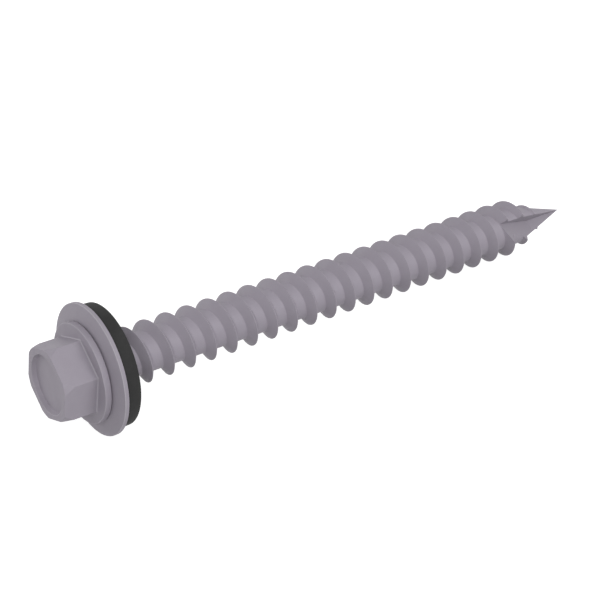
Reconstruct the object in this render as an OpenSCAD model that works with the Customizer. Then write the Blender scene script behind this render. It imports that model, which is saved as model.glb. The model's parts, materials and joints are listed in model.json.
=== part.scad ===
// Hex washer head wood screw with a slash point and a captive sealing washer.
// One cold-formed screw, a dished steel washer and the rubber seal bonded under it.
// Millimetres, +Z up. The screw lies on the rim of its washer and on its last full thread crest.
// Each piece is drawn along +Z, bearing face of the flange at z = 0, tip upwards, and is then laid down.

/* [Head] */
// Width of the hexagon across its flats
hex_af = 7.4; // [6.8:0.1:8.2]
// Height of the head, bearing face to end face
head_h = 4.35; // [3.6:0.05:6]
// Length of the corner chamfer along the axis
chamfer_l = 1.2; // [0.4:0.1:1.8]
// Steepness of the corner chamfer from the axis
chamfer_deg = 16; // [8:1:24]
// Diameter of the round recess in the end face
recess_d = 6.3; // [4:0.1:6.4]
// Depth of the recess
recess_h = 0.5; // [0.2:0.1:1.2]
// Draft of the recess wall
recess_draft_deg = 20; // [5:1:30]
// Turn of the hexagon's first corner away from the top
hex_turn = 5; // [0:1:59]

/* [Flange] */
// Diameter of the flange forged with the head
flange_d = 10.5; // [9.8:0.1:11.6]
// Height of the flange
flange_h = 0.69; // [0.4:0.01:1]
// Rounding of the flange's edges
flange_round = 0.1; // [0.04:0.02:0.14]

/* [Shank and thread] */
// Length under the head, bearing face to tip
length = 63.6; // [40:0.1:90]
// Diameter of the plain neck inside the washer
neck_d = 5; // [4.7:0.1:5.4]
// Diameter over the thread crests
thread_d = 6.3; // [5.9:0.05:6.8]
// Diameter of the core between the threads
core_d = 4.34; // [4:0.02:4.6]
// Distance from crest to crest
pitch = 2.54; // [2.2:0.01:3]
// Width of the flat on the crest
crest_w = 0.1; // [0.06:0.02:0.3]
// Width of the thread where it leaves the core
root_w = 1.36; // [1:0.02:1.6]
// Plain length between the seal and the start of the thread
thread_gap = 1.62; // [1:0.02:3]
// Share of a turn in which the thread rises to full height
run_in = 0.34; // [0.2:0.02:1]
// Distance from crest to bearing face where the helix passes the top
thread_clock = 7.8; // [6.5:0.02:9]

/* [Slash point] */
// Angle of the point, side to side
point_deg = 34; // [26:1:44]
// Full-size core left behind the place where the crests start to taper
crest_lead = 0.88; // [0:0.02:1.4]
// Bare length of the point beyond the thread
tip_bare = 3.1; // [1.6:0.05:4]
// Turn of the cutting wall away from the top
slash_turn = 35; // [0:1:359]
// Length of the flute that runs along the axis
slash_l = 5; // [2.6:0.1:6]
// Slope of the ramp where the flute runs out
slash_ramp_deg = 22; // [16:1:34]
// Height above the core to which the ramp reaches
slash_lip = 0.36; // [0.1:0.02:0.6]
// Metal left between the flute and the axis
point_web = 0.05; // [0.03:0.01:0.15]

/* [Sealing washer] */
// Outer diameter of the steel washer
washer_d = 13.92; // [12:0.02:16]
// Thickness of the steel along the axis
washer_t = 0.44; // [0.3:0.02:0.8]
// Diameter of the flat seat under the flange
seat_d = 8.8; // [7.4:0.1:9.6]
// Drop of the dished rim below the seat
washer_drop = 0.53; // [0.2:0.01:0.8]
// Rounding of the washer's rim
washer_round = 0.08; // [0.04:0.02:0.12]
// Step from the steel rim in to the rubber seal
seal_inset = 0.51; // [0.1:0.01:1]
// Thickness of the rubber under the flat seat
seal_t = 2.22; // [1.4:0.02:3]
// Rounding of the seal's free edge
seal_round = 0.16; // [0.06:0.02:0.4]
// Radial room between the neck and the steel bore
steel_room = 0.25; // [0.1:0.05:0.5]
// Radial room between the neck and the rubber bore
seal_room = 0.12; // [0.06:0.02:0.3]

/* [Smoothness] */
// Segments of the helix in one turn
turn_steps = 30; // [18:2:36]

/* [Hidden] */
$fn = 96;
// how far cutters reach past the faces they open
cut_over = 0.2;
// how deep the thread's base lies in the core, and the share of the core's radius it keeps near the tip
ridge_sink = 0.4;
base_share = 1 / 3;
// how deep the two ends of the crest dive under the core's surface
end_sink = 0.1;
// how far the plain neck reaches past the seal
neck_over = 0.15;

// head
corner_r = hex_af / sqrt(3);
end_r = corner_r - chamfer_l * tan(chamfer_deg);
recess_r = recess_d / 2;
recess_floor_r = recess_r - recess_h * tan(recess_draft_deg);
flange_r = flange_d / 2;

// washer stack, measured from the bearing face
washer_r = washer_d / 2;
seat_r = seat_d / 2;
seal_r = washer_r - seal_inset;
dish = washer_drop / (washer_r - seat_r);
rim_back = washer_drop + washer_t;
seal_back = washer_t + seal_t;

// neck and core
neck_r = neck_d / 2;
core_r = core_d / 2;
neck_end = seal_back + neck_over;
neck_fade = neck_end + neck_r - core_r;
point_slope = tan(point_deg / 2);
cone_start = length - core_r / point_slope;

// thread
thread_r = thread_d / 2;
flank = (root_w - crest_w) / 2 / (thread_r - core_r);
thread_start = seal_back + thread_gap;
taper_start = cone_start - crest_lead;
crest_gone = length - tip_bare;
crest_slope = (thread_r - tip_bare * point_slope) / (crest_gone - taper_start);
thread_end = crest_gone + end_sink / (crest_slope - point_slope);

// pose: the tilt brings the washer's rim and the last full crest under the axis to the floor
first_low_crest = thread_clock - pitch / 2;
last_low_crest = first_low_crest + pitch * floor((taper_start - first_low_crest) / pitch);
tilt = atan((washer_r - thread_r) / (last_low_crest - rim_back));
floor_drop = rim_back * sin(tilt) + washer_r * cos(tilt);
mid_x = (length * cos(tilt) - head_h * cos(tilt) - end_r * sin(tilt)) / 2;

// radius of the core at a place along the axis
function core_at(t) = min(core_r, (length - t) * point_slope);
// radius of the crest: it rises from under the core, and tapers down along the point
function crest_at(t) = min(thread_r,
    core_r - end_sink + (thread_r - core_r + end_sink) * (t - thread_start) / (run_in * pitch),
    thread_r - (t - taper_start) * crest_slope);
// radius of the thread's base, sunk into the core
function base_at(t) = max(core_at(t) - ridge_sink, core_at(t) * base_share);
// section of the thread, as radius and offset along the axis
function ridge_section(t) =
    let (spread = crest_w / 2 + (crest_at(t) - base_at(t)) * flank)
    [[base_at(t), -spread], [crest_at(t), -crest_w / 2], [crest_at(t), crest_w / 2], [base_at(t), spread]];
// points of a small round between two directions
function round_edge(centre, r, from, to, steps = 4) =
    [for (i = [0:steps]) let (a = from + (to - from) * i / steps) centre + r * [cos(a), sin(a)]];

// brings a piece from its own axis to the lying pose
module lay_down() {
    translate([-mid_x, 0, floor_drop]) rotate([0, 90 + tilt, 0]) rotate([0, 0, 180]) children();
}

// hexagon with its corners taken off by a steep cone, set down into the flange
module hex_head() {
    translate([0, 0, -head_h]) intersection() {
        rotate([0, 0, hex_turn]) cylinder(r = corner_r, h = head_h - flange_h / 2, $fn = 6);
        cylinder(r1 = end_r, r2 = end_r + head_h * tan(chamfer_deg), h = head_h);
    }
}

// shallow round recess in the end face
module recess() {
    mouth_r = recess_r + cut_over * tan(recess_draft_deg);
    translate([0, 0, -head_h - cut_over])
        cylinder(r1 = mouth_r, r2 = recess_floor_r, h = recess_h + cut_over);
}

// flat flange with rounded edges
module flange() {
    edge_r = flange_r - flange_round;
    rotate_extrude() polygon(concat(
        [[0, 0]],
        round_edge([edge_r, -flange_round], flange_round, 90, 0),
        round_edge([edge_r, flange_round - flange_h], flange_round, 0, -90),
        [[0, -flange_h]]));
}

// neck, core and point turned in one profile
module shank() {
    rotate_extrude() polygon([
        [0, -flange_h / 2], [neck_r, -flange_h / 2], [neck_r, neck_end], [core_r, neck_fade],
        [core_r, cone_start], [0, length]]);
}

// the thread: one ridge swept along a right-hand helix, sunk into the core at its base
module thread_ridge() {
    steps = ceil((thread_end - thread_start) / pitch * turn_steps);
    stations = [for (i = [0:steps]) thread_start + (thread_end - thread_start) * i / steps];
    points = [for (t = stations) let (a = 360 * (t - thread_clock) / pitch)
        for (p = ridge_section(t)) [p[0] * cos(a), p[0] * sin(a), t + p[1]]];
    sides = [for (i = [0:steps - 1], j = [0:3]) let (a = 4 * i + j, b = 4 * i + (j + 1) % 4)
        each [[a, b, a + 4], [b, b + 4, a + 4]]];
    last = 4 * steps;
    caps = [[0, 2, 1], [0, 3, 2], [last, last + 1, last + 2], [last, last + 2, last + 3]];
    polyhedron(points = points, faces = concat(sides, caps), convexity = 10);
}

// the flute: one wall lies along the axis, the other follows the axis and ramps out to the surface
module slash() {
    ramp_foot = length - slash_l;
    lip_r = core_r + slash_lip;
    ramp_end = ramp_foot - lip_r / tan(slash_ramp_deg);
    past_tip = length + cut_over;
    rotate([0, 0, slash_turn]) translate([0, point_web, 0]) rotate([-90, 0, 0])
        linear_extrude(height = thread_d) polygon([
            [point_web, -past_tip], [point_web, -ramp_foot], [lip_r, -ramp_end],
            [thread_d, -ramp_end], [thread_d, -past_tip]]);
}

module screw() {
    color([0.57, 0.55, 0.59]) lay_down() difference() {
        union() {
            hex_head();
            flange();
            shank();
            thread_ridge();
        }
        recess();
        slash();
    }
}

module steel_washer() {
    bore_r = neck_r + steel_room;
    rim_angle = atan(dish);
    color([0.60, 0.58, 0.62]) lay_down() rotate_extrude() polygon(concat(
        [[bore_r, 0], [seat_r, 0]],
        round_edge([washer_r - washer_round, washer_drop + washer_round], washer_round, rim_angle - 90, 0),
        [[washer_r, rim_back], [seat_r, washer_t], [bore_r, washer_t]]));
}

module rubber_seal() {
    bore_r = neck_r + seal_room;
    edge = washer_t + (seal_r - seat_r) * dish;
    color([0.16, 0.16, 0.16]) lay_down() rotate_extrude() polygon(concat(
        [[bore_r, washer_t], [seat_r, washer_t], [seal_r, edge]],
        round_edge([seal_r - seal_round, seal_back - seal_round], seal_round, 0, 90),
        [[bore_r, seal_back]]));
}

screw();
steel_washer();
rubber_seal();
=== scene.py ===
"""Dressed model of a hex washer head timber screw with its captive sealing washer.

Every piece is turned or swept along the screw's own axis, with the flange's bearing face at zero and the
tip at the positive end, and is then laid along the axis that the frame gives. Lengths are in metres.
"""

import json
import math

import bmesh
import bpy
from bpy.props import FloatProperty, FloatVectorProperty, PointerProperty
from mathutils import Matrix, Vector


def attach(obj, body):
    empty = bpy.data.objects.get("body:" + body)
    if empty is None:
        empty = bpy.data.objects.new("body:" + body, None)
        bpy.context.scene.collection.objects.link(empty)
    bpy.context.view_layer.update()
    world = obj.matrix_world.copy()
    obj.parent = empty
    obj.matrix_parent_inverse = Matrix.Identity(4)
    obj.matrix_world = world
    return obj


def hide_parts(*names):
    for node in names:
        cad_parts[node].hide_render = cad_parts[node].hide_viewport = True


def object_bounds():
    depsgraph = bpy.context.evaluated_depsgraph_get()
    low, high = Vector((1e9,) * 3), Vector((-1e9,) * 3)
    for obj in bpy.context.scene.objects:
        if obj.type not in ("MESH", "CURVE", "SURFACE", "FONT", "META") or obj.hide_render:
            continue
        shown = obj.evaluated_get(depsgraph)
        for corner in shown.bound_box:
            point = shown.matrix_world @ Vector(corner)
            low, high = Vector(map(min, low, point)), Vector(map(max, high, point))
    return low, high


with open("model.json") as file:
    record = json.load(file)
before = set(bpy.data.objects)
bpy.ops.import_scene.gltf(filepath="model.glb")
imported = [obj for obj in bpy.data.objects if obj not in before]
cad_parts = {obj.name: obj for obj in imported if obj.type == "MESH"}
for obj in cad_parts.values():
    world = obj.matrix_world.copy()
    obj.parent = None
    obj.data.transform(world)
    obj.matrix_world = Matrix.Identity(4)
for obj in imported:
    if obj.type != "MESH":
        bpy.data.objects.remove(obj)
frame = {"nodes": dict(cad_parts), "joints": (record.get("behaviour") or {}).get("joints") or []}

bl_info = {
    "name": "Hex Washer Head Screw",
    "version": (1, 0, 0),
    "blender": (4, 5, 0),
    "location": "View3D > Sidebar > Screw",
    "description": "Builds a slash-point hex washer head screw with a sealing washer, and a plain stage",
    "category": "Object",
}

MM = 0.001
SCREW_BODY = "screw"
WASHER_BODY = "sealing_washer"
SCREW_NODE = "screw"
STEEL_NODE = "steel_washer"
RUBBER_NODE = "rubber_seal"

# the whole model's box as the frame has it
CAD_BOX = [list(corner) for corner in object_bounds()]

# the screw's axis, the direction across it that points up, and the one that points to the side
SPIN = frame["joints"][0]
AXIS = Vector(SPIN["axis"]).normalized()
UP = (Vector((0, 0, 1)) - AXIS * AXIS.z).normalized()
SIDE = AXIS.cross(UP)
ON_AXIS = Vector(SPIN["pos_m"])


def reach(node):
    """Lowest and highest place of a node along the axis, and its greatest distance from the axis."""
    places = [vertex.co - ON_AXIS for vertex in frame["nodes"][node].data.vertices]
    along = [place.dot(AXIS) for place in places]
    out = [(place - AXIS * t).length for place, t in zip(places, along)]
    return min(along), max(along), max(out)


SEAT, STEEL_BACK, STEEL_R = reach(STEEL_NODE)
END_FACE, TIP, _ = reach(SCREW_NODE)
_, RUBBER_BACK, RUBBER_R = reach(RUBBER_NODE)
BEARING = ON_AXIS + AXIS * SEAT
# from a piece's own axis to its place in the frame
LAID = Matrix.Translation(BEARING) @ Matrix((UP, SIDE, AXIS)).transposed().to_4x4()

# pieces share these steps round the axis and round an edge
TURN_STEPS = 160
EDGE_STEPS = 5
HELIX_STEPS = 84
# edges sharper than this stay crisp
CRISP = math.radians(21)
# how strongly the painted highlight along rounded edges, with a little scuffing, shows on the screw and on
# the washer
SCREW_HIGHLIGHT_AND_SCUFF = 0.9
WASHER_HIGHLIGHT_AND_SCUFF = 1.0
# how softly the core turns into the point and the crests into their taper, and the least radius of the core
CORE_BLEND = 0.12 * MM
CREST_BLEND = 0.1 * MM
CORE_LEAST = 0.002 * MM
# plain core ahead of the thread's skin, and the bare end closed by the tip
CORE_LEAD = 0.2 * MM
TIP_END = 0.25 * MM
TIP_LEAST = 0.001 * MM
# steps round the crest and the root of the thread
RIDGE_STEPS = 4
# patches and grain on the rubber
RUBBER_CLOUD = 2.2 * MM
RUBBER_GRAIN = 0.14 * MM
# compass angle and height of each lamp, in degrees, and how wide it looks from the screw
KEY_FROM = (-120, 38)
SIDE_FROM = (-60, 36)
BACK_FROM = (115, 12)
LAMP_WIDTH = math.radians(40)
# half the width of the floor, and how much it glows for the camera
FLOOR_HALF = 3.0
FLOOR_GLOW = 0.8


def span(name, about, default):
    """A length that a user may change."""
    return FloatProperty(name=name, description=about, default=default, min=0.0, precision=5, unit="LENGTH")


def slant(name, about, degrees):
    """An angle that a user may change."""
    return FloatProperty(name=name, description=about, default=math.radians(degrees), subtype="ANGLE")


def share(name, about, default):
    """A plain number that a user may change."""
    return FloatProperty(name=name, description=about, default=default, min=0.0)


def tint(name, about, default):
    """A colour that a user may change."""
    return FloatVectorProperty(
        name=name, description=about, default=default, size=3, min=0.0, max=1.0, subtype="COLOR")


class HeadSizes(bpy.types.PropertyGroup):
    """Hexagon, recess and flange of the forged head."""

    flats: span("Across Flats", "Width of the hexagon from flat to flat", 7.4 * MM)
    height: span("Height", "Bearing face to end face", SEAT - END_FACE)
    hex_turn: slant("Hexagon Turn", "Turn of the first corner away from the top", 5)
    corner_round: span("Corner Round", "Rounding of the hexagon's six corners", 0.08 * MM)
    chamfer: span("Chamfer", "Length of the corner chamfer along the axis", 1.2 * MM)
    chamfer_slant: slant("Chamfer Slant", "Steepness of the chamfer from the axis", 16)
    edge_break: span("Edge Break", "Small break along the end face's edge", 0.03 * MM)
    recess: span("Recess", "Diameter of the recess in the end face", 6.3 * MM)
    recess_depth: span("Recess Depth", "Depth of the recess", 0.5 * MM)
    recess_draft: slant("Recess Draft", "Draft of the recess wall", 20)
    recess_lip: span("Recess Lip", "Rounding of the recess's lip", 0.06 * MM)
    flange: span("Flange", "Diameter of the flange", 10.5 * MM)
    flange_height: span("Flange Height", "Height of the flange", 0.69 * MM)
    flange_round: span("Flange Round", "Rounding of the flange's edges", 0.06 * MM)
    root_round: span("Root Round", "Fillet between the hexagon and the flange", 0.14 * MM)


class ThreadSizes(bpy.types.PropertyGroup):
    """Neck, core, thread and slash point."""

    length: span("Length", "Bearing face to tip", TIP - SEAT)
    neck: span("Neck", "Diameter of the plain neck inside the washer", 5.0 * MM)
    neck_end: span("Neck End", "Bearing face to the end of the plain neck", RUBBER_BACK - SEAT + 0.15 * MM)
    crest: span("Crest Diameter", "Diameter over the thread crests", 6.3 * MM)
    core: span("Core Diameter", "Diameter of the core between the threads", 4.34 * MM)
    pitch: span("Pitch", "Distance from crest to crest", 2.54 * MM)
    crest_flat: span("Crest Flat", "Width of the crest", 0.06 * MM)
    crest_round: span("Crest Round", "Rounding of the crest's edges", 0.03 * MM)
    root_width: span("Root Width", "Width of the thread where it leaves the core", 1.36 * MM)
    root_round: span("Root Round", "Fillet between the thread and the core", 0.06 * MM)
    start: span("Thread Start", "Bearing face to the start of the thread", RUBBER_BACK - SEAT + 1.54 * MM)
    run_in: span("Run In", "Length in which the thread rises to full height", 0.34 * 2.54 * MM)
    clock: span("Clock", "Bearing face to a crest where it passes the top", 7.8 * MM)
    point: slant("Point", "Angle of the point from side to side", 34)
    crest_lead: span("Crest Lead", "Full-size core behind the start of the crests' taper", 0.88 * MM)
    tip_bare: span("Bare Tip", "Length of the point beyond the thread", 3.1 * MM)
    flute_turn: slant("Flute Turn", "Turn of the cutting wall away from the top", 35)
    flute: span("Flute", "Length of the flute that runs along the axis", 5.0 * MM)
    flute_ramp: slant("Flute Ramp", "Slope where the flute runs out", 22)
    flute_lip: span("Flute Lip", "Height above the core to which the ramp reaches", 0.36 * MM)
    web: span("Point Web", "Metal left between the flute and the axis", 0.05 * MM)


class WasherSizes(bpy.types.PropertyGroup):
    """Dished steel washer and the rubber bonded under it."""

    radius: span("Steel Radius", "Radius of the steel washer", STEEL_R)
    thickness: span("Steel Thickness", "Thickness of the steel along the axis", 0.44 * MM)
    seat: span("Seat", "Diameter of the flat seat under the flange", 8.8 * MM)
    rim_back: span("Rim Back", "Bearing face to the back of the dished rim", STEEL_BACK - SEAT)
    rim_round: span("Rim Round", "Rounding of the steel's rim", 0.08 * MM)
    bend_round: span("Bend Round", "Bend between the seat and the dished rim", 0.9 * MM)
    steel_bore: span("Steel Bore", "Diameter of the hole in the steel", 5.5 * MM)
    rubber_radius: span("Rubber Radius", "Radius of the rubber seal", RUBBER_R)
    rubber_back: span("Rubber Back", "Bearing face to the free face of the seal", RUBBER_BACK - SEAT)
    rubber_round: span("Rubber Round", "Rounding of the seal's free edge", 0.16 * MM)
    rubber_bore: span("Rubber Bore", "Diameter of the hole in the rubber", 5.24 * MM)
    bulge: span("Bulge", "How far the seal's wall swells out between its edges", 0.03 * MM)


class Finishes(bpy.types.PropertyGroup):
    """Colours of the coating and of the rubber."""

    coat: tint("Coating", "Matt zinc coating where it is even", (0.339, 0.311, 0.359))
    coat_dull: tint("Dull Coating", "The coating's duller patches", (0.325, 0.297, 0.344))
    # painted shade: the flute's faces are coloured darker to stand in for the shade that lies in the flute
    flute_painted_shade: tint("Flute Coating", "The thinner, duller coating in the flute", (0.292, 0.267, 0.309))
    # painted highlight, with a little scuffing: the brighter colour that the rounded edges take
    coat_highlight_scuff: tint("Rubbed Coating", "The coating where edges are rubbed bright", (0.46, 0.44, 0.48))
    rubber: tint("Rubber", "Seal rubber", (0.017, 0.017, 0.017))
    rubber_bloom: tint("Rubber Bloom", "Greyer bloom on the rubber", (0.037, 0.037, 0.037))
    cloud: span("Cloud Size", "Size of the coating's uneven patches", 1.6 * MM)
    grain: span("Grain Size", "Size of the coating's fine grain", 0.09 * MM)


class StageSettings(bpy.types.PropertyGroup):
    """Camera, light and floor."""

    azimuth: slant("Azimuth", "Turn of the camera round the screw", -35.344)
    elevation: slant("Elevation", "Height of the camera above the horizon", 35.736)
    field: slant("Field of View", "Angle that the picture takes in", 19.793)
    distance: span("Distance", "Camera to the point it looks at", 184.25 * MM)
    aim: FloatVectorProperty(
        name="Aim", description="Point that the camera looks at", size=3, subtype="TRANSLATION", precision=5,
        default=(-3.273 * MM, 0.0, 4.884 * MM))
    floor: tint("Floor", "Colour of the floor", (0.55, 0.55, 0.55))
    sky: share("Sky", "Strength of the even light from all round", 0.44)
    key: share("Key", "Strength of the main light from beside the camera", 0.31)
    side: share("Side", "Strength of the light along the thread", 0.29)
    back: share("Back", "Strength of the low light from behind", 0.27)


class HexScrew(bpy.types.PropertyGroup):
    """All settings of the screw and its stage."""

    head: PointerProperty(type=HeadSizes)
    thread: PointerProperty(type=ThreadSizes)
    washer: PointerProperty(type=WasherSizes)
    finish: PointerProperty(type=Finishes)
    stage: PointerProperty(type=StageSettings)


# Outlines

def arc_corner(before, corner, after, radius, steps):
    """Points of a round that takes the place of a corner, at most as long as its two sides allow."""
    to_before = Vector(before) - Vector(corner)
    to_after = Vector(after) - Vector(corner)
    half_turn = (math.pi - to_before.angle(to_after)) / 2
    room = min(to_before.length, to_after.length) * 0.48
    cut = min(radius * math.tan(half_turn), room)
    start = Vector(corner) + to_before.normalized() * cut
    end = Vector(corner) + to_after.normalized() * cut
    bend_r = cut / math.tan(half_turn)
    inward = (to_before.normalized() + to_after.normalized()).normalized()
    centre = Vector(corner) + inward * math.hypot(cut, bend_r)
    points = []
    for step in range(steps + 1):
        mix = (start - centre).slerp(end - centre, step / steps)
        points.append(centre + mix.normalized() * bend_r)
    return points


def outline(path, closed=False, steps=EDGE_STEPS):
    """Rounds the corners of a path of (radius, place, round, painted highlight).

    Returns (radius, place, painted highlight) along it. Only the round itself gets the painted highlight,
    with a little scuffing, and the faces beside it stay plain.
    """
    points = []
    count = len(path)
    for index, (radius, place, edge, highlight_and_scuff_value) in enumerate(path):
        ends = not closed and index in (0, count - 1)
        if ends or edge == 0:
            points.append((radius, place, highlight_and_scuff_value))
            continue
        before = path[index - 1][:2]
        after = path[(index + 1) % count][:2]
        for step, point in enumerate(arc_corner(before, (radius, place), after, edge, steps)):
            points.append((point.x, point.y, highlight_and_scuff_value if 0 < step < steps else 0.0))
    return points


def soft_min(a, b, blend):
    """The lesser of two values, eased where they meet."""
    near = max(blend - abs(a - b), 0.0)
    return min(a, b) - near * near / (4 * blend)


# Meshes

class Turning:
    """A mesh that grows in rings round the axis.

    Every vertex has a painted highlight value, with a little scuffing in it, and every face that the slash
    cut has a mark, which the coating uses for painted shade.
    """

    def __init__(self):
        self.mesh = bmesh.new()
        self.worn = self.mesh.verts.layers.float.new("worn")
        self.slashed = self.mesh.faces.layers.float.new("slashed")

    def vertex(self, radius, angle, place, highlight_and_scuff_value=0.0):
        """One vertex at a radius, an angle and a place along the axis."""
        made = self.mesh.verts.new((radius * math.cos(angle), radius * math.sin(angle), place))
        made[self.worn] = highlight_and_scuff_value
        return made

    def skin(self, rings, closed=False):
        """Quads between rings of vertices that follow each other."""
        last = len(rings) if closed else len(rings) - 1
        for index in range(last):
            lower = rings[index]
            upper = rings[(index + 1) % len(rings)]
            count = len(lower)
            for step in range(count):
                after = (step + 1) % count
                self.mesh.faces.new((lower[step], lower[after], upper[after], upper[step]))

    def lathe(self, profile):
        """Turns a closed outline round the axis."""
        angles = [2 * math.pi * step / TURN_STEPS for step in range(TURN_STEPS)]
        self.skin([[self.vertex(r, a, t, highlight_and_scuff_value) for a in angles] for r, t, highlight_and_scuff_value in profile], closed=True)

    def open_edges(self, place):
        """The free edges that lie at a place along the axis."""
        close = 0.001 * MM
        return [edge for edge in self.mesh.edges if edge.is_boundary
                and all(abs(vertex.co.z - place) < close for vertex in edge.verts)]

    def draw_out(self, edges, radius, place):
        """Draws a free edge loop on to another radius and place, and returns the new loop's edges."""
        made = bmesh.ops.extrude_edge_only(self.mesh, edges=edges)["geom"]
        for vertex in (item for item in made if isinstance(item, bmesh.types.BMVert)):
            angle = math.atan2(vertex.co.y, vertex.co.x)
            vertex.co = (radius * math.cos(angle), radius * math.sin(angle), place)
            vertex[self.worn] = 0.0
        return [item for item in made if isinstance(item, bmesh.types.BMEdge) and item.is_boundary]

    def cut_off(self, place, keep_above):
        """Cuts the mesh square at a place along the axis and drops one side."""
        mesh = self.mesh
        parts = mesh.verts[:] + mesh.edges[:] + mesh.faces[:]
        bmesh.ops.bisect_plane(
            mesh, geom=parts, dist=0.00001 * MM, plane_co=(0, 0, place), plane_no=(0, 0, 1),
            clear_inner=keep_above, clear_outer=not keep_above)


def settle_shading(mesh):
    """Smooth faces, with every edge sharper than the crisp angle left crisp."""
    shaded = bmesh.new()
    shaded.from_mesh(mesh)
    for face in shaded.faces:
        face.smooth = True
    for edge in shaded.edges:
        edge.smooth = not (edge.is_manifold and edge.calc_face_angle() > CRISP)
    shaded.to_mesh(mesh)
    shaded.free()


def applied(obj):
    """The object's mesh with its modifiers taken in."""
    bpy.context.view_layer.update()
    ready = obj.evaluated_get(bpy.context.evaluated_depsgraph_get())
    return bpy.data.meshes.new_from_object(ready)


def take_in(obj):
    """Takes an object's modifiers into its mesh."""
    mesh = applied(obj)
    mesh.name = obj.data.name
    obj.modifiers.clear()
    obj.data = mesh


def placed(turning, name):
    """An object in the scene that holds a finished mesh, still on its own axis."""
    bmesh.ops.recalc_face_normals(turning.mesh, faces=turning.mesh.faces)
    mesh = bpy.data.meshes.new(name)
    turning.mesh.to_mesh(mesh)
    turning.mesh.free()
    obj = bpy.data.objects.new(name, mesh)
    bpy.context.scene.collection.objects.link(obj)
    return obj


def finish_piece(piece, body, node, material):
    """Evens the flat faces' shading, lays the piece along the axis, ties it to its body, gives it its
    material and hides the frame's node that it stands in for.
    """
    settle_shading(piece.data)
    even = piece.modifiers.new("even flats", "WEIGHTED_NORMAL")
    even.keep_sharp = True
    even.weight = 80
    take_in(piece)
    piece.data.transform(LAID)
    piece.data.materials.clear()
    piece.data.materials.append(material)
    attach(piece, body)
    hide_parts(node)


# Head

def hex_radius(head, angle):
    """Distance from the axis to the hexagon's side, with its corners rounded."""
    sixth = math.radians(60)
    inner = head.flats / 2
    off_corner = abs((angle - head.hex_turn + sixth / 2) % sixth - sixth / 2)
    centre = (inner - head.corner_round) / math.cos(sixth / 2)
    if off_corner < corner_touch(head):
        return centre * math.cos(off_corner) + math.sqrt(
            head.corner_round ** 2 - (centre * math.sin(off_corner)) ** 2)
    return inner / math.cos(sixth / 2 - off_corner)


def corner_touch(head):
    """Angle from a corner to where its round meets the flat."""
    half = math.radians(30)
    centre = (head.flats / 2 - head.corner_round) / math.cos(half)
    return math.atan2(head.corner_round * math.sin(half), centre + head.corner_round * math.cos(half))


def head_angles(head):
    """Angles round the head, close together at the hexagon's corners."""
    touch = corner_touch(head)
    near = [touch * part for part in (0.34, 0.68, 1.0, 1.6)]
    wide = [math.radians(step) for step in (3.5, 6, 8.5, 11, 13.5, 16, 18.5, 21, 24)]
    flat_middle = math.radians(28)
    offsets = near + wide + [flat_middle]
    angles = []
    for corner in range(6):
        at = head.hex_turn + math.radians(60 * corner)
        angles += [at - offset for offset in reversed(offsets)] + [at] + [at + offset for offset in offsets]
    return angles


def head_outline(head, neck_r, angle):
    """Outline of the head at one angle, from the recess floor out over the flange to the bearing face."""
    end = -head.height
    floor = end + head.recess_depth
    recess_r = head.recess / 2
    floor_r = recess_r - head.recess_depth * math.tan(head.recess_draft)
    side_r = hex_radius(head, angle)
    lean = math.tan(head.chamfer_slant)
    end_r = head.flats / math.sqrt(3) - head.chamfer * lean
    rim_r = min(end_r, side_r - head.edge_break)
    shoulder = end + max(head.edge_break, (side_r - end_r) / lean)
    flange_r = head.flange / 2
    foot = -head.flange_height
    inner_r = neck_r + head.root_round
    soft = head.edge_break
    # The last value of each corner sets its painted highlight: the fillet at the hexagon's foot, an inside
    # corner, gets painted highlight only, and the outer edges get painted highlight with a little scuffing.
    return outline([
        (floor_r * 0.6, floor, 0, 0.0),
        (floor_r, floor, soft, 0.0),
        (recess_r, end, head.recess_lip, 0.8),
        (rim_r, end, soft, 0.2),
        (side_r, shoulder, soft, 0.1),
        (side_r, foot, head.root_round, 0.6),
        (flange_r, foot, head.flange_round, 0.6),
        (flange_r, 0.0, head.flange_round, 0.2),
        (inner_r, 0.0, 0, 0.0),
    ])


def forge_head(turning, head, neck_r):
    """The head as one skin from the middle of its recess to the bearing face."""
    angles = head_angles(head)
    columns = [head_outline(head, neck_r, angle) for angle in angles]
    rings = []
    for row in range(len(columns[0])):
        rings.append([turning.vertex(column[row][0], angle, column[row][1], column[row][2])
                      for angle, column in zip(angles, columns)])
    turning.skin(rings)
    middle = turning.vertex(0.0, 0.0, head.recess_depth - head.height)
    first = rings[0]
    for step, vertex in enumerate(first):
        turning.mesh.faces.new((middle, first[(step + 1) % len(first)], vertex))


# Shank

def core_at(thread, place):
    """Radius of the core: straight, then down to the point."""
    cone = (thread.length - place) * math.tan(thread.point / 2)
    return max(soft_min(thread.core / 2, cone, CORE_BLEND), CORE_LEAST)


def crest_height(thread, place):
    """Height of the crest above the core: it rises out of the core and sinks into it along the point."""
    crest_r = thread.crest / 2
    core_r = thread.core / 2
    slope = math.tan(thread.point / 2)
    gone = thread.length - thread.tip_bare
    taper = thread.length - core_r / slope - thread.crest_lead
    fall = (crest_r - thread.tip_bare * slope) / (gone - taper)
    rising = core_r + (crest_r - core_r) * (place - thread.start) / thread.run_in
    falling = crest_r - (place - taper) * fall
    crest = soft_min(min(crest_r, rising), falling, CREST_BLEND)
    return max(crest - core_at(thread, place), 0.0)


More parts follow.
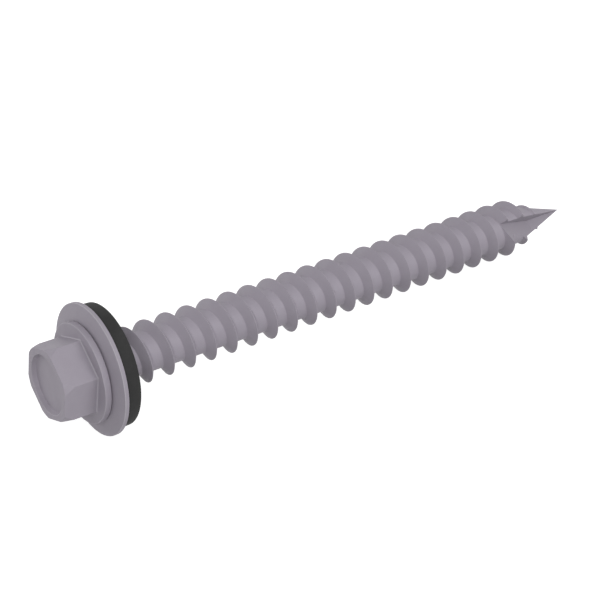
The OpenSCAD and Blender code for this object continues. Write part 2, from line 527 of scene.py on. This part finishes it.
def ridge(thread, height):
    """Section of the thread over one pitch, as (offset along the axis, height), without its last point."""
    full = (thread.crest - thread.core) / 2
    drawn = max(height, full / 4)
    squat = height / drawn
    scale = drawn / full
    flank = (thread.root_width - thread.crest_flat) / 2 / full
    lean = math.pi / 2 - math.atan(flank)
    crest_half = thread.crest_flat / 2 * scale
    root_half = crest_half + drawn * flank
    crest_r = thread.crest_round * scale
    root_r = thread.root_round * scale
    right = []
    for step in range(RIDGE_STEPS + 1):
        turn = lean * step / RIDGE_STEPS
        offset = crest_half - crest_r * math.tan(lean / 2) + crest_r * math.sin(turn)
        right.append((offset, drawn - crest_r * (1 - math.cos(turn))))
    for step in range(RIDGE_STEPS + 1):
        turn = lean * (1 - step / RIDGE_STEPS)
        offset = root_half + root_r * math.tan(lean / 2) - root_r * math.sin(turn)
        right.append((offset, root_r * (1 - math.cos(turn))))
    foot = right[-1][0]
    half = thread.pitch / 2
    right += [(foot + (half - foot) * part, 0.0) for part in (0.34, 0.67)]
    left = [(-offset, rise) for offset, rise in reversed(right)]
    section = [(-half, 0.0)] + left + right
    return [(offset, rise * squat) for offset, rise in section]


def roll_thread(turning, thread, first, last):
    """Core and thread as one skin that winds round the axis, between two places along it."""
    pitch = thread.pitch
    start = first - 0.6 * pitch
    stations = math.ceil((last - start + 0.6 * pitch) / pitch * HELIX_STEPS)
    rows = []
    for station in range(stations + HELIX_STEPS + 1):
        crest = start + pitch * station / HELIX_STEPS
        angle = 2 * math.pi * (crest - thread.clock) / pitch
        section = ridge(thread, crest_height(thread, crest))
        if station > stations:
            section = section[:1]
        row = []
        for offset, rise in section:
            place = crest + offset
            row.append(turning.vertex(core_at(thread, place) + rise, angle, place))
        rows.append(row)
    for station in range(stations):
        near = rows[station] + [rows[station + HELIX_STEPS][0]]
        far = rows[station + 1] + [rows[station + 1 + HELIX_STEPS][0]]
        for column in range(len(near) - 1):
            turning.mesh.faces.new((near[column], far[column], far[column + 1], near[column + 1]))
    turning.cut_off(first, keep_above=True)
    turning.cut_off(last, keep_above=False)


def draw_point(turning, thread, last):
    """Closes the core's end in the tip."""
    edges = turning.draw_out(turning.open_edges(last), TIP_LEAST, thread.length)
    corners = list({vertex for edge in edges for vertex in edge.verts})
    bmesh.ops.pointmerge(turning.mesh, verts=corners, merge_co=(0, 0, thread.length))


def flute_cutter(thread):
    """The body that the slash takes away: two walls along the axis and a ramp that runs out."""
    foot = thread.length - thread.flute
    lip = thread.core / 2 + thread.flute_lip
    ramp_end = foot - (lip - thread.web) / math.tan(thread.flute_ramp)
    beyond = thread.length + 1 * MM
    outer = thread.crest
    side = [(thread.web, beyond), (thread.web, foot), (lip, ramp_end), (outer, ramp_end), (outer, beyond)]
    cutter = Turning()
    spin = Matrix.Rotation(thread.flute_turn, 3, "Z")
    walls = []
    for depth in (thread.web, thread.web + outer):
        walls.append([cutter.mesh.verts.new(spin @ Vector((across, depth, along))) for across, along in side])
    cutter.skin(walls)
    cutter.mesh.faces.new(walls[0])
    cutter.mesh.faces.new(walls[1])
    for face in cutter.mesh.faces:
        face[cutter.slashed] = 1.0
    return placed(cutter, "flute_cutter")


def split_cut_faces(mesh):
    """Splits the many-cornered faces that the slash leaves into even triangles."""
    cut = bmesh.new()
    cut.from_mesh(mesh)
    wide = [face for face in cut.faces if len(face.verts) > 4]
    bmesh.ops.triangulate(cut, faces=wide, quad_method="BEAUTY", ngon_method="BEAUTY")
    cut.to_mesh(mesh)
    cut.free()


class SCREW_OT_forge(bpy.types.Operator):
    """Forges the head, rolls the thread and slashes the point, as one piece"""

    bl_idname = "screw.forge"
    bl_label = "Screw"

    def execute(self, context):
        sizes = context.scene.hex_screw
        head = sizes.head
        thread = sizes.thread
        neck_r = thread.neck / 2
        core_r = thread.core / 2
        faded = thread.neck_end + neck_r - core_r
        first = faded + CORE_LEAD
        last = thread.length - TIP_END
        turning = Turning()
        roll_thread(turning, thread, first, last)
        draw_point(turning, thread, last)
        loop = turning.draw_out(turning.open_edges(first), core_r, faded)
        loop = turning.draw_out(loop, neck_r, thread.neck_end)
        turning.draw_out(loop, neck_r, 0.0)
        forge_head(turning, head, neck_r)
        bmesh.ops.triangle_fill(turning.mesh, use_beauty=True, edges=turning.open_edges(0.0))
        piece = placed(turning, "coated_screw")
        cutter = flute_cutter(thread)
        slash = piece.modifiers.new("slash", "BOOLEAN")
        slash.operation = "DIFFERENCE"
        slash.solver = "EXACT"
        slash.object = cutter
        take_in(piece)
        bpy.data.objects.remove(cutter)
        split_cut_faces(piece.data)
        coating = zinc_coating(sizes.finish, "zinc_coating", SCREW_HIGHLIGHT_AND_SCUFF)
        finish_piece(piece, SCREW_BODY, SCREW_NODE, coating)
        return {"FINISHED"}


# Washer

class SCREW_OT_press_washer(bpy.types.Operator):
    """Presses the dished steel washer"""

    bl_idname = "screw.press_washer"
    bl_label = "Steel Washer"

    def execute(self, context):
        sizes = context.scene.hex_screw
        washer = sizes.washer
        bore_r = washer.steel_bore / 2
        seat_r = washer.seat / 2
        drop = washer.rim_back - washer.thickness
        bore_edge = washer.rim_round / 2
        turning = Turning()
        # The last value of each corner sets its painted highlight: the full value at the rim's front edge is
        # painted highlight, with a little scuffing.
        turning.lathe(outline([
            (bore_r, 0.0, washer.rim_round, 0.3),
            (seat_r, 0.0, washer.bend_round, 0.0),
            (washer.radius, drop, washer.rim_round, 1.0),
            (washer.radius, washer.rim_back, bore_edge, 0.4),
            (seat_r, washer.thickness, washer.bend_round, 0.0),
            (bore_r, washer.thickness, bore_edge, 0.0),
        ], closed=True))
        piece = placed(turning, "dished_washer")
        coating = zinc_coating(sizes.finish, "washer_coating", WASHER_HIGHLIGHT_AND_SCUFF)
        finish_piece(piece, WASHER_BODY, STEEL_NODE, coating)
        return {"FINISHED"}


def seal_wall(washer, top):
    """The seal's outer wall from the steel to the free edge, swollen in the middle."""
    bottom = washer.rubber_back - washer.rubber_round
    points = []
    steps = 8
    for step in range(1, steps):
        part = step / steps
        place = top + (bottom - top) * part
        radius = washer.rubber_radius + washer.bulge * 4 * part * (1 - part)
        points.append((radius, place, 0, 0.0))
    return points


class SCREW_OT_mould_seal(bpy.types.Operator):
    """Moulds the rubber seal under the steel washer"""

    bl_idname = "screw.mould_seal"
    bl_label = "Rubber Seal"

    def execute(self, context):
        sizes = context.scene.hex_screw
        washer = sizes.washer
        bore_r = washer.rubber_bore / 2
        seat_r = washer.seat / 2
        dish = (washer.rim_back - washer.thickness) / (washer.radius - seat_r)
        top = washer.thickness + (washer.rubber_radius - seat_r) * dish
        soft = washer.rubber_round / 4
        turning = Turning()
        path = [(bore_r, washer.thickness, soft, 0.0), (seat_r, washer.thickness, washer.bend_round, 0.0),
                (washer.rubber_radius, top, soft, 0.0)]
        path += seal_wall(washer, top)
        path += [(washer.rubber_radius, washer.rubber_back, washer.rubber_round, 0.0),
                 (bore_r, washer.rubber_back, washer.rubber_round, 0.0)]
        turning.lathe(outline(path, closed=True))
        piece = placed(turning, "rubber_ring")
        finish_piece(piece, WASHER_BODY, RUBBER_NODE, seal_rubber(sizes.finish))
        return {"FINISHED"}


# Finishes

def shader_node(tree, kind, **values):
    """A node with its input sockets set by name."""
    node = tree.nodes.new(kind)
    for name, value in values.items():
        node.inputs[name.replace("_", " ")].default_value = value
    return node


def mottle_group():
    """Shared effect: soft clouds and a fine grain over the surface, at sizes given in metres."""
    name = "mottle"
    if name in bpy.data.node_groups:
        return bpy.data.node_groups[name]
    group = bpy.data.node_groups.new(name, "ShaderNodeTree")
    for socket, size in (("Cloud Size", 1.6 * MM), ("Grain Size", 0.1 * MM)):
        group.interface.new_socket(socket, in_out="INPUT", socket_type="NodeSocketFloat").default_value = size
    for socket in ("Cloud", "Grain"):
        group.interface.new_socket(socket, in_out="OUTPUT", socket_type="NodeSocketFloat")
    inside = group.nodes.new("NodeGroupInput")
    outside = group.nodes.new("NodeGroupOutput")
    place = group.nodes.new("ShaderNodeTexCoord")
    for socket, detail, roughness in (("Cloud", 3.0, 0.55), ("Grain", 2.0, 0.6)):
        per_metre = group.nodes.new("ShaderNodeMath")
        per_metre.operation = "DIVIDE"
        per_metre.inputs[0].default_value = 1.0
        group.links.new(inside.outputs[f"{socket} Size"], per_metre.inputs[1])
        noise = shader_node(group, "ShaderNodeTexNoise", Detail=detail, Roughness=roughness)
        group.links.new(place.outputs["Object"], noise.inputs["Vector"])
        group.links.new(per_metre.outputs[0], noise.inputs["Scale"])
        spread = shader_node(group, "ShaderNodeMapRange", From_Min=0.32, From_Max=0.68)
        group.links.new(noise.outputs["Fac"], spread.inputs["Value"])
        group.links.new(spread.outputs["Result"], outside.inputs[socket])
    return group


def highlight_scuff_group():
    """Shared effect: painted highlight along rounded edges, with a little scuffing, broken up by the grain.
    """
    name = "edge_rub"
    if name in bpy.data.node_groups:
        return bpy.data.node_groups[name]
    group = bpy.data.node_groups.new(name, "ShaderNodeTree")
    group.interface.new_socket("Grain", in_out="INPUT", socket_type="NodeSocketFloat")
    group.interface.new_socket("Amount", in_out="INPUT", socket_type="NodeSocketFloat").default_value = 1.0
    group.interface.new_socket("Rub", in_out="OUTPUT", socket_type="NodeSocketFloat")
    inside = group.nodes.new("NodeGroupInput")
    outside = group.nodes.new("NodeGroupOutput")
    worn = group.nodes.new("ShaderNodeAttribute")
    worn.attribute_name = "worn"
    patchy = shader_node(group, "ShaderNodeMapRange", To_Min=0.55, To_Max=1.0)
    group.links.new(inside.outputs["Grain"], patchy.inputs["Value"])
    highlighted_and_scuffed = group.nodes.new("ShaderNodeMath")
    highlighted_and_scuffed.operation = "MULTIPLY"
    group.links.new(worn.outputs["Fac"], highlighted_and_scuffed.inputs[0])
    group.links.new(patchy.outputs["Result"], highlighted_and_scuffed.inputs[1])
    scaled = group.nodes.new("ShaderNodeMath")
    scaled.operation = "MULTIPLY"
    group.links.new(highlighted_and_scuffed.outputs[0], scaled.inputs[0])
    group.links.new(inside.outputs["Amount"], scaled.inputs[1])
    group.links.new(scaled.outputs[0], outside.inputs["Rub"])
    return group


def colour_mix(tree, factor, first, second):
    """Mixes two colours by a factor, and returns the node. Either may be a plain colour or a node."""
    mix = tree.nodes.new("ShaderNodeMix")
    mix.data_type = "RGBA"
    tree.links.new(factor, mix.inputs["Factor"])
    for socket, colour in ((mix.inputs[6], first), (mix.inputs[7], second)):
        if isinstance(colour, bpy.types.NodeSocket):
            tree.links.new(colour, socket)
        else:
            socket.default_value = (*colour, 1.0)
    return mix.outputs[2]


def surface(name):
    """A fresh material with its shader."""
    material = bpy.data.materials.new(name)
    material.use_nodes = True
    tree = material.node_tree
    return material, tree, tree.nodes["Principled BSDF"]


def grouped(tree, group, **values):
    """Places a node group with its inputs set by name."""
    node = tree.nodes.new("ShaderNodeGroup")
    node.node_tree = group
    for name, value in values.items():
        node.inputs[name.replace("_", " ")].default_value = value
    return node


def zinc_coating(finish, name, highlight_scuff_amount):
    """Matt zinc-flake coating: grey with a faint mauve cast, fine grain, a painted highlight along rounded
    edges with a little scuffing, and painted shade in the flute.
    """
    material, tree, shader = surface(name)
    mottle = grouped(tree, mottle_group(), Cloud_Size=finish.cloud, Grain_Size=finish.grain)
    highlight_scuff_node = grouped(tree, highlight_scuff_group(), Amount=highlight_scuff_amount)
    tree.links.new(mottle.outputs["Grain"], highlight_scuff_node.inputs["Grain"])
    clouded = colour_mix(tree, mottle.outputs["Cloud"], finish.coat_dull, finish.coat)
    # painted shade: every face that the slash cut takes the darker flute colour
    slashed = tree.nodes.new("ShaderNodeAttribute")
    slashed.attribute_name = "slashed"
    flute_shaded = colour_mix(tree, slashed.outputs["Fac"], clouded, finish.flute_painted_shade)
    # painted highlight along rounded edges, with a little scuffing
    highlighted_and_scuffed = colour_mix(tree, highlight_scuff_node.outputs["Rub"], flute_shaded, finish.coat_highlight_scuff)
    tree.links.new(highlighted_and_scuffed, shader.inputs["Base Color"])
    rough = shader_node(tree, "ShaderNodeMapRange", To_Min=0.62, To_Max=0.5)
    tree.links.new(mottle.outputs["Grain"], rough.inputs["Value"])
    tree.links.new(rough.outputs["Result"], shader.inputs["Roughness"])
    relief = shader_node(tree, "ShaderNodeBump", Strength=0.12, Distance=0.01 * MM)
    tree.links.new(mottle.outputs["Grain"], relief.inputs["Height"])
    tree.links.new(relief.outputs["Normal"], shader.inputs["Normal"])
    shader.inputs["Specular IOR Level"].default_value = 0.3
    return material


def seal_rubber(finish):
    """Matt black rubber with a grey bloom and a moulded grain."""
    material, tree, shader = surface("seal_rubber")
    mottle = grouped(tree, mottle_group(), Cloud_Size=RUBBER_CLOUD, Grain_Size=RUBBER_GRAIN)
    clouded = colour_mix(tree, mottle.outputs["Cloud"], finish.rubber, finish.rubber_bloom)
    tree.links.new(clouded, shader.inputs["Base Color"])
    rough = shader_node(tree, "ShaderNodeMapRange", To_Min=0.7, To_Max=0.9)
    tree.links.new(mottle.outputs["Cloud"], rough.inputs["Value"])
    tree.links.new(rough.outputs["Result"], shader.inputs["Roughness"])
    relief = shader_node(tree, "ShaderNodeBump", Strength=0.3, Distance=0.02 * MM)
    tree.links.new(mottle.outputs["Grain"], relief.inputs["Height"])
    tree.links.new(relief.outputs["Normal"], shader.inputs["Normal"])
    shader.inputs["Specular IOR Level"].default_value = 0.3
    return material


# Stage

def seen_white(tree):
    """A value that is one for rays that look at the background, straight or in a reflection."""
    path = tree.nodes.new("ShaderNodeLightPath")
    total = path.outputs["Is Camera Ray"]
    for ray in ("Is Glossy Ray", "Is Transmission Ray"):
        either = tree.nodes.new("ShaderNodeMath")
        either.operation = "MAXIMUM"
        tree.links.new(total, either.inputs[0])
        tree.links.new(path.outputs[ray], either.inputs[1])
        total = either.outputs[0]
    return total


def lay_floor(stage):
    """A wide pale floor that looks white and keeps the shadow under the screw."""
    half = FLOOR_HALF
    low = CAD_BOX[0][2]
    mesh = bpy.data.meshes.new("floor")
    corners = [(-half, -half, low), (half, -half, low), (half, half, low), (-half, half, low)]
    mesh.from_pydata(corners, [], [(0, 1, 2, 3)])
    floor = bpy.data.objects.new("floor", mesh)
    bpy.context.scene.collection.objects.link(floor)
    material, tree, shader = surface("pale_floor")
    shader.inputs["Base Color"].default_value = (*stage.floor, 1.0)
    shader.inputs["Roughness"].default_value = 0.9
    shader.inputs["Specular IOR Level"].default_value = 0.0
    shader.inputs["Emission Color"].default_value = (1.0, 1.0, 1.0, 1.0)
    glow = shader_node(tree, "ShaderNodeMapRange", To_Max=FLOOR_GLOW)
    tree.links.new(seen_white(tree), glow.inputs["Value"])
    tree.links.new(glow.outputs["Result"], shader.inputs["Emission Strength"])
    mesh.materials.append(material)


def light_world(stage):
    """Even light from all round, which itself looks white."""
    world = bpy.data.worlds.new("even_sky")
    bpy.context.scene.world = world
    world.use_nodes = True
    tree = world.node_tree
    strength = shader_node(tree, "ShaderNodeMapRange", To_Min=stage.sky, To_Max=1.0)
    tree.links.new(seen_white(tree), strength.inputs["Value"])
    background = tree.nodes["Background"]
    background.inputs["Color"].default_value = (1.0, 1.0, 1.0, 1.0)
    tree.links.new(strength.outputs["Result"], background.inputs["Strength"])


def hang_lamp(name, compass, height, strength):
    """A far soft lamp at a compass angle and a height in degrees.

    A face turned to it gets as much light as its strength says.
    """
    data = bpy.data.lights.new(name, "SUN")
    data.energy = strength * math.pi
    data.angle = LAMP_WIDTH
    lamp = bpy.data.objects.new(name, data)
    level = math.cos(math.radians(height))
    turn = math.radians(compass)
    direction = Vector((math.cos(turn) * level, math.sin(turn) * level, math.sin(math.radians(height))))
    lamp.rotation_mode = "QUATERNION"
    lamp.rotation_quaternion = direction.to_track_quat("Z", "Y")
    lamp.location = direction * 0.5
    bpy.context.scene.collection.objects.link(lamp)


def set_camera(stage):
    """The camera, turned round the point it looks at."""
    data = bpy.data.cameras.new("camera")
    data.sensor_fit = "HORIZONTAL"
    data.angle = stage.field
    data.clip_start = 0.01
    data.clip_end = 20.0
    camera = bpy.data.objects.new("camera", data)
    level = math.cos(stage.elevation)
    turn = stage.azimuth
    back = Vector((math.sin(turn) * level, -math.cos(turn) * level, math.sin(stage.elevation)))
    camera.location = Vector(stage.aim) + back * stage.distance
    camera.rotation_mode = "QUATERNION"
    camera.rotation_quaternion = (-back).to_track_quat("-Z", "Y")
    bpy.context.scene.collection.objects.link(camera)
    bpy.context.scene.camera = camera


class SCREW_OT_set_stage(bpy.types.Operator):
    """Lays the floor, hangs the lamps and sets the camera"""

    bl_idname = "screw.set_stage"
    bl_label = "Stage"

    def execute(self, context):
        stage = context.scene.hex_screw.stage
        context.scene.view_settings.view_transform = "Standard"
        lay_floor(stage)
        light_world(stage)
        hang_lamp("key", *KEY_FROM, stage.key)
        hang_lamp("side", *SIDE_FROM, stage.side)
        hang_lamp("back", *BACK_FROM, stage.back)
        set_camera(stage)
        return {"FINISHED"}


class SCREW_PT_sidebar(bpy.types.Panel):
    """Lists the screw's settings and the buttons that build it"""

    bl_idname = "SCREW_PT_sidebar"
    bl_label = "Hex Washer Head Screw"
    bl_space_type = "VIEW_3D"
    bl_region_type = "UI"
    bl_category = "Screw"

    def draw(self, context):
        sizes = context.scene.hex_screw
        groups = (
            ("Screw", SCREW_OT_forge, (sizes.head, sizes.thread)),
            ("Steel washer", SCREW_OT_press_washer, (sizes.washer,)),
            ("Rubber seal", SCREW_OT_mould_seal, ()),
            ("Finishes", None, (sizes.finish,)),
            ("Stage", SCREW_OT_set_stage, (sizes.stage,)),
        )
        for title, operator, holders in groups:
            box = self.layout.box()
            box.label(text=title)
            for holder in holders:
                for name in holder.__annotations__:
                    box.prop(holder, name)
            if operator:
                box.operator(operator.bl_idname)


CLASSES = (
    HeadSizes, ThreadSizes, WasherSizes, Finishes, StageSettings, HexScrew,
    SCREW_OT_forge, SCREW_OT_press_washer, SCREW_OT_mould_seal, SCREW_OT_set_stage, SCREW_PT_sidebar,
)


def register():
    """Registers the classes and hangs the settings on the scene."""
    for item in CLASSES:
        bpy.utils.register_class(item)
    bpy.types.Scene.hex_screw = PointerProperty(type=HexScrew)


def unregister():
    """Takes the settings and the classes away again."""
    del bpy.types.Scene.hex_screw
    for item in reversed(CLASSES):
        bpy.utils.unregister_class(item)


def main():
    """Builds the screw, its washer, its seal and the stage."""
    register()
    bpy.ops.screw.forge()
    bpy.ops.screw.press_washer()
    bpy.ops.screw.mould_seal()
    bpy.ops.screw.set_stage()


if __name__ == "__main__":
    main()
